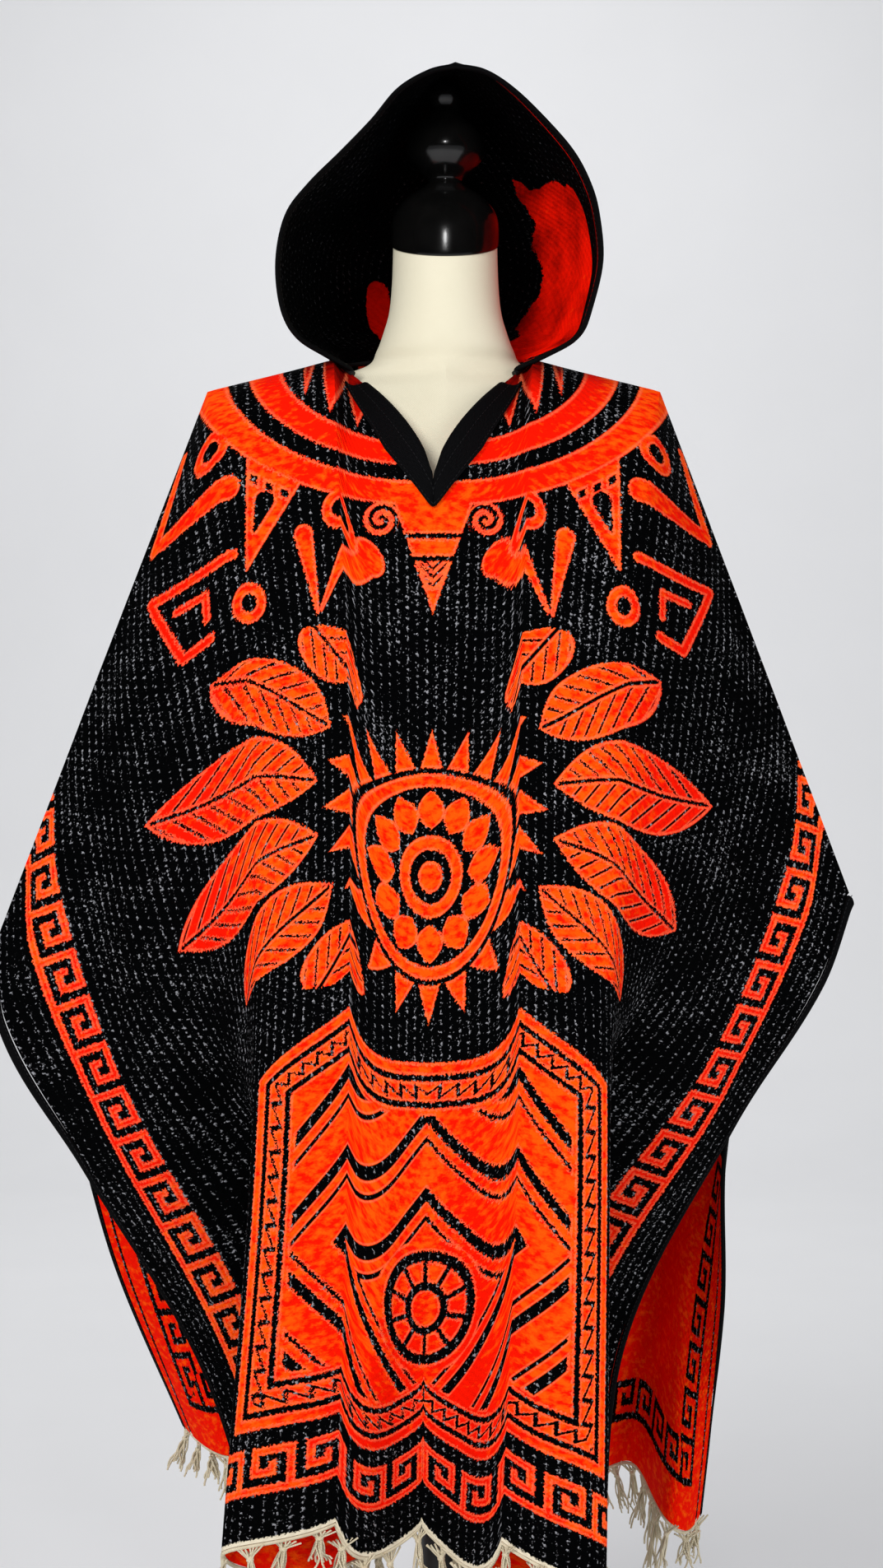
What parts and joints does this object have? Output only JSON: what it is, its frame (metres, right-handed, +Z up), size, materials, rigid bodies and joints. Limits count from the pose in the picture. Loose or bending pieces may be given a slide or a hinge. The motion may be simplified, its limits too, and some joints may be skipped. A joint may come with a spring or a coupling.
{
  "type": "hooded poncho on a dress form stand",
  "caption": "Hooded Mexican poncho of thick two-colour double-cloth, hung on a limbless dress form with a post and round base.",
  "frame": {"origin": "underside of the round base, on the axis of the stand", "axes": "+Z up along the post, -Y towards the front of the poncho, +X to the viewer's right"},
  "size_m": [0.7549, 0.39, 1.6126],
  "materials": {
    "double_cloth": "thick two-colour jacquard double-cloth, matt",
    "hood_cloth": "the same double-cloth, its reverse inside the hood",
    "tape": "plain black woven band and binding",
    "yarn": "cream tied yarn",
    "jersey": "cream jersey cover",
    "lacquer": "turned wood, glossy black lacquer",
    "black_paint": "satin black paint"
  },
  "bodies": {
    "root": {"front_panel": "double_cloth", "back_panel": "double_cloth", "binding_front_left": "tape", "binding_front_right": "tape", "binding_back_left": "tape", "binding_back_right": "tape", "neck_band": "tape", "hood_left": "hood_cloth", "hood_right": "hood_cloth", "hood_binding": "tape", "fringe_front": "yarn", "fringe_back": "yarn", "form_torso": "jersey", "form_cap": "lacquer", "stand_post": "black_paint", "stand_base": "black_paint"}
  },
  "joints": []
}
